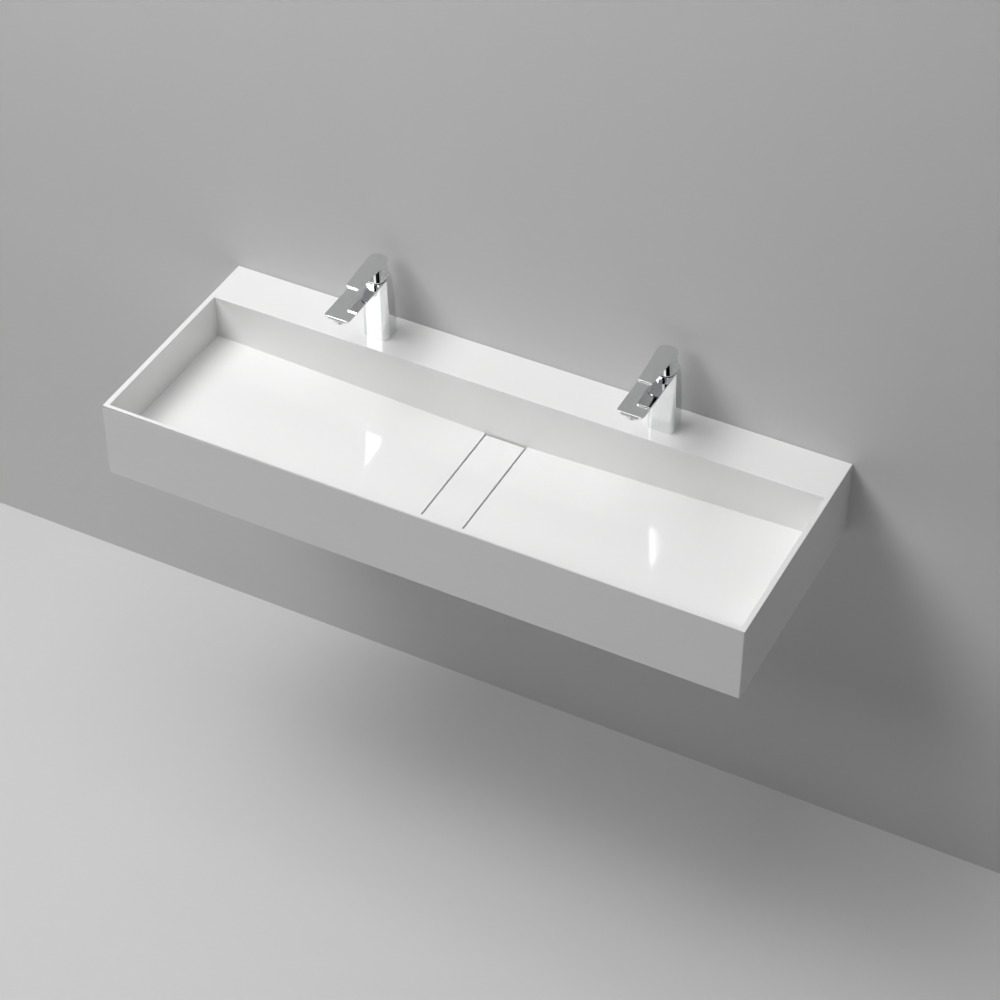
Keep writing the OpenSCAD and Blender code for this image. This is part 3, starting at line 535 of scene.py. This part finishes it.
def add_aerator_boss(piece, side, spot, height):
    """The round boss under the spout's tip, hollow for the aerator's neck."""
    ring_r = box_radius(f"{side}_aerator_housing")
    boss_r = ring_r + BOSS_RIM
    face_z = height - SPOUT_T - BOSS_T
    join(piece, turned("boss", [
        (boss_r - BODY_LIP, face_z), (boss_r, face_z + BODY_LIP), (boss_r, height - BOSS_SINK),
    ], spot))
    cut(piece, round_bar("neck", ring_r - NECK_IN, face_z - CUT, face_z + NECK_L, spot))


def cut_chamber(piece, side, place, height):
    """The stepped bore that holds the cartridge and its nut."""
    spindle_low, spindle_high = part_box(f"{side}_spindle")
    spot = (0, (spindle_low.y + spindle_high.y) / 2 - place.y, 0)
    nut_r = box_radius(f"{side}_cartridge_nut")
    nut_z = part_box(f"{side}_cartridge_nut")[0].z - place.z
    chamber_r = box_radius(f"{side}_cartridge_base") + CHAMBER_PLAY
    chamber_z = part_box(f"{side}_cartridge_base")[0].z - place.z
    cut(piece, turned("bore", [
        (chamber_r, chamber_z), (chamber_r, nut_z), (nut_r, nut_z),
        (nut_r, height - BODY_LIP), (nut_r + 2 * BODY_LIP, height + BODY_LIP),
    ], spot))


def cut_foot(piece, side):
    """The groove for the base seal, the two inlets and the stud's hole."""
    seal_low, seal_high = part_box(f"{side}_base_seal")
    seal_r = box_radius(f"{side}_base_seal") + SEAL_PLAY
    groove = round_bar("groove", seal_r, -CUT, seal_high.z - seal_low.z)
    cut(groove, round_bar("core", SEAL_INNER_R, -2 * CUT, 3 * CUT))
    cut(piece, groove)
    for x in (-INLET_X, INLET_X):
        cut(piece, round_bar("inlet", INLET_R, -CUT, INLET_L, (x, INLET_Y, 0)))
    cut(piece, round_bar("stud_hole", STUD_R, -CUT, STUD_L, (0, STUD_Y, 0)))


def tap_body(side):
    low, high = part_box(f"{side}_tap_body")
    place = Vector(((low.x + high.x) / 2, high.y - BODY_D / 2, low.z))
    height = high.z - low.z
    reach = place.y - low.y
    top_half = (high.x - low.x) / 2 - (BODY_W - SPOUT_W) / 2
    piece = level_loft(f"{side}_tap_body_shell", column_levels(height, top_half))
    join(piece, level_loft("spout", spout_levels(height, reach, top_half)))
    add_aerator_boss(piece, side, (0, -reach + AERATOR_BACK, 0), height)
    cut_chamber(piece, side, place, height)
    cut_foot(piece, side)
    finish_piece(piece, place, "chrome", "trough", f"{side}_tap_body")


# ------------------------------------------------------------------- levers

def cap_rings(plate_z):
    """Rings up the tapered cap, from its soft lower edge into the middle of the
    plate on top of it."""
    soft_edge = ((0.0, CAP_EDGE), (0.3 * CAP_EDGE, 0.3 * CAP_EDGE), (CAP_EDGE, 0))
    levels = [(z, CAP_W, CAP_Y, inset) for z, inset in soft_edge]
    for share in CAP_SHARES:
        width = CAP_W + (CAP_TOP_W - CAP_W) * share
        span = tuple(a + (b - a) * share for a, b in zip(CAP_Y, CAP_TOP_Y))
        levels.append((plate_z * share, width, span, 0))
    levels.append((plate_z + PLATE_T / 2, CAP_TOP_W, CAP_TOP_Y, 0))
    return [
        level(box_outline(width / 2, *span, CAP_FRONT_R, CAP_BACK_R, inset), z)
        for z, width, span, inset in levels
    ]


def plate_rings(plate_z):
    """Rings up the flat handle plate, with soft edges below and above."""
    corners = [
        (PLATE_FRONT_W / 2, PLATE_Y[0], PLATE_TIP_R), (PLATE_REAR_W / 2, PLATE_Y[1], PLATE_REAR_R),
        (-PLATE_REAR_W / 2, PLATE_Y[1], PLATE_REAR_R), (-PLATE_FRONT_W / 2, PLATE_Y[0], PLATE_TIP_R),
    ]
    lower = [(plate_z + EDGE_R * fall, EDGE_R * (1 - sine)) for sine, fall in quarter_arc()]
    upper = [(2 * plate_z + PLATE_T - z, inset) for z, inset in reversed(lower)]
    return [level(outline(corners, inset), z) for z, inset in lower + upper]


def cut_plug_seat(piece, plate_z):
    """The hole for the screw plug in the cap's right side, in a fine round groove."""
    spot = (0, PLUG_Y, PLUG_UP)
    side_in = (CAP_W - CAP_TOP_W) / 2
    side_x = CAP_W / 2 - side_in * PLUG_UP / plate_z
    cut(piece, turned("plug_hole", [
        (PLUG_R, PLUG_FACE), (PLUG_R, side_x - PLUG_LIP), (PLUG_R + 3 * PLUG_LIP, side_x + 2 * PLUG_LIP),
    ], spot, "X"))
    floor_x = side_x - GROOVE_DEPTH
    groove = round_bar("groove", GROOVE_R + GROOVE_W, floor_x, CAP_W / 2, spot, "X")
    cut(groove, round_bar("core", GROOVE_R, floor_x - CUT, CAP_W / 2 + CUT, spot, "X"))
    middle = Matrix.Translation((side_x, PLUG_Y, PLUG_UP))
    lean = Matrix.Rotation(-math.atan(side_in / plate_z), 4, "Y")
    groove.data.transform(middle @ lean @ middle.inverted())
    cut(piece, groove)


def tap_lever(side):
    low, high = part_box(f"{side}_lever")
    spindle_low, spindle_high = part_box(f"{side}_spindle")
    place = Vector(((low.x + high.x) / 2, (spindle_low.y + spindle_high.y) / 2, low.z))
    plate_z = high.z - low.z - PLATE_T
    piece = loft(f"{side}_lever_casting", cap_rings(plate_z))
    join(piece, loft("plate", plate_rings(plate_z)))
    relief_end = RELIEF_Y + 2 * CAP_Y[1]
    cut(piece, prism("relief", CAP_W, [
        (RELIEF_Y, -CUT), (relief_end, -CUT),
        (relief_end, 2 * CAP_Y[1] * RELIEF_SLOPE), (RELIEF_Y, 0),
    ]))
    half_x = (spindle_high.x - spindle_low.x) / 2 + SOCKET_PLAY
    half_y = (spindle_high.y - spindle_low.y) / 2 + SOCKET_PLAY
    top = spindle_high.z - low.z + SOCKET_TOP_PLAY
    cut(piece, prism("socket", half_x, [(-half_y, -CUT), (half_y, -CUT), (half_y, top), (-half_y, top)]))
    cut_plug_seat(piece, plate_z)
    finish_piece(piece, place, "chrome", f"{side}_tap_lever", f"{side}_lever")


for tap_side in SIDES:
    tap_body(tap_side)
    tap_lever(tap_side)


# -------------------------------------------------------------------- stage

WALL_Y = 1 * MM
ROOM_FLOOR_Z = -0.77
ROOM = 9.0
WALL_GREY = 0.68
FLOOR_GREY = 0.70
FLOOR_FADE = (3.2, 4.6)  # the floor fades out between these distances
GREY_SPREAD = 0.004


def stage_material(name, grey, roughness, fade=None):
    """A matt finish that shows from the front only, so that no view is blocked.
    It fades out between two distances from the middle, where they are given."""
    f = Finish(name, Roughness=roughness, Specular_IOR_Level=0.2)
    f.colour(f.spread(f.noise(1.5, 3), 0, 1), [grey - GREY_SPREAD] * 3, [grey + GREY_SPREAD] * 3)
    f.link(f.bump(f.noise(90, 3), 0.1 * MM, 0.3), "Normal")
    hidden = f.add("ShaderNodeNewGeometry").outputs["Backfacing"]
    if fade:
        far = f.add("ShaderNodeVectorMath", {0: f.place}, operation="LENGTH").outputs["Value"]
        faded = f.spread(far, 0, 1, *fade)
        hidden = f.add("ShaderNodeMath", {0: hidden, 1: faded}, operation="MAXIMUM").outputs[0]
    clear = f.add("ShaderNodeBsdfTransparent").outputs[0]
    mix = f.add("ShaderNodeMixShader", {0: hidden, 1: f.shader.outputs[0], 2: clear})
    f.tree.links.new(mix.outputs[0], f.tree.nodes["Material Output"].inputs["Surface"])
    return f.material


def panel(name, corners, material):
    """A flat face of the room, which casts no shadow."""
    mesh = bpy.data.meshes.new(name)
    mesh.from_pydata(corners, [], [tuple(range(len(corners)))])
    mesh.materials.append(material)
    piece = bpy.data.objects.new(name, mesh)
    bpy.context.scene.collection.objects.link(piece)
    piece.visible_shadow = False


panel("wall", [
    (-ROOM, WALL_Y, ROOM_FLOOR_Z), (ROOM, WALL_Y, ROOM_FLOOR_Z),
    (ROOM, WALL_Y, ROOM), (-ROOM, WALL_Y, ROOM),
], stage_material("wall_paint", WALL_GREY, 0.8))
panel("room_floor", [
    (-ROOM, -ROOM, ROOM_FLOOR_Z), (ROOM, -ROOM, ROOM_FLOOR_Z),
    (ROOM, WALL_Y, ROOM_FLOOR_Z), (-ROOM, WALL_Y, ROOM_FLOOR_Z),
], stage_material("floor_paint", FLOOR_GREY, 0.6, FLOOR_FADE))


# ---------------------------------------------------------- light and camera

AIM = Vector((0, -0.22, 0.08))


def softbox(name, direction, distance, size, share):
    """A square soft light at a distance from the aim, facing it. A share of 1
    lights a white face that looks at the light to plain white."""
    light = bpy.data.lights.new(name, "AREA")
    light.shape = "RECTANGLE"
    light.size = size
    light.size_y = size
    light.energy = share * math.pi ** 2 * distance ** 2
    piece = bpy.data.objects.new(name, light)
    away = Vector(direction).normalized()
    piece.location = AIM + away * distance
    piece.rotation_euler = away.to_track_quat("Z", "Y").to_euler()
    bpy.context.scene.collection.objects.link(piece)
    return piece


# Each light's name, direction and distance from the aim, size and share, whether it
# lights matt faces and whether it is seen in gloss. The key light is unseen in
# gloss: a smaller box, further left, is seen in its place.
for lamp_name, direction, distance, size, share, shines, mirrored in (
    ("key_light", (-0.34, -0.66, 0.67), 6.0, 2.0, 0.218, True, False),
    ("key_mirror", (-0.452, -0.66, 0.67), 6.0, 1.6, 0.16, False, True),
    ("high_light", (-0.45, -0.30, 0.85), 6.0, 3.0, 0.275, True, True),
    ("left_light", (-0.50, -0.15, 0.85), 3.0, 1.6, 0.282, True, True),
    ("top_light", (0.0, -0.15, 1.0), 3.0, 1.6, 0.202, True, True),
    ("front_fill", (0.80, -0.50, 0.35), 3.4, 1.6, 0.022, True, False),
    ("back_fill", (0.25, 1.0, 0.02), 3.4, 1.6, 0.14, True, False),
    ("under_fill", (0.10, 0.30, -1.0), 3.0, 1.6, 0.06, True, False),
):
    lamp = softbox(lamp_name, direction, distance, size, share)
    lamp.visible_diffuse = shines
    lamp.visible_glossy = mirrored

# What is seen past the stage: a plain pale grey by the camera, and in the metal a
# grey room with a bright window in front and a dark doorway to the right of it.
# None of it lights the object.
WORLD_SEEN = 0.75
ROOM_SEEN = (           # (heading from the front, in degrees to the right, brightness)
    (-180, 0.34), (-15, 0.34), (-12, 1.0), (12, 1.0), (16, 0.0),
    (60, 0.0), (66, 0.34), (180, 0.34),
)
HIGH_SEEN = 0.45       # brightness above the window and the doorway
HIGH_FROM = 0.22       # height in the view, as a sine, at which it sets in
HIGH_TO = 0.3


def studio_world():
    world = bpy.data.worlds.new("studio")
    world.use_nodes = True
    nodes = world.node_tree.nodes
    links = world.node_tree.links
    background = nodes["Background"]

    def math_node(operation, first, second):
        node = nodes.new("ShaderNodeMath")
        node.operation = operation
        for socket, value in zip(node.inputs, (first, second)):
            if isinstance(value, bpy.types.NodeSocket):
                links.new(value, socket)
            else:
                socket.default_value = value
        return node.outputs[0]

    path = nodes.new("ShaderNodeLightPath").outputs
    place = nodes.new("ShaderNodeTexCoord").outputs["Generated"]
    split = nodes.new("ShaderNodeSeparateXYZ")
    links.new(place, split.inputs[0])
    heading = math_node("ARCTAN2", split.outputs["X"], math_node("MULTIPLY", split.outputs["Y"], -1))
    turn = math_node("ADD", math_node("DIVIDE", heading, 2 * math.pi), 0.5)
    room = nodes.new("ShaderNodeValToRGB")
    stops = room.color_ramp.elements
    while len(stops) < len(ROOM_SEEN):
        stops.new(0.5)
    for stop, (degrees, _) in zip(stops, ROOM_SEEN):
        stop.position = degrees / 360 + 0.5
    for stop, (_, brightness) in zip(stops, ROOM_SEEN):
        stop.color = (brightness, brightness, brightness, 1)
    links.new(turn, room.inputs["Fac"])
    high = nodes.new("ShaderNodeMapRange")
    links.new(split.outputs["Z"], high.inputs["Value"])
    for socket, value in (("From Min", HIGH_FROM), ("From Max", HIGH_TO), ("To Max", HIGH_SEEN)):
        high.inputs[socket].default_value = value
    in_room = math_node("MAXIMUM", room.outputs["Color"], high.outputs["Result"])
    in_metal = math_node("MULTIPLY", path["Is Glossy Ray"], in_room)
    plainly = math_node("MAXIMUM", path["Is Camera Ray"], path["Is Transmission Ray"])
    seen = math_node("MULTIPLY", plainly, WORLD_SEEN)
    links.new(math_node("MAXIMUM", seen, in_metal), background.inputs["Strength"])
    background.inputs["Color"].default_value = (1, 1, 1, 1)
    return world


bpy.context.scene.world = studio_world()
bpy.context.scene.view_settings.view_transform = "Standard"

CAMERA_PLACE = (1.652275, -3.320108, 3.073348)
CAMERA_TILT = math.radians(48.1574)
CAMERA_TURN = math.radians(27.3329)
CAMERA_LENS = 98.04

camera = bpy.data.objects.new("camera", bpy.data.cameras.new("camera"))
bpy.context.scene.collection.objects.link(camera)
camera.data.lens = CAMERA_LENS
camera.data.sensor_width = 36
camera.data.clip_end = 100
camera.location = CAMERA_PLACE
camera.rotation_euler = (CAMERA_TILT, 0, CAMERA_TURN)
bpy.context.scene.camera = camera
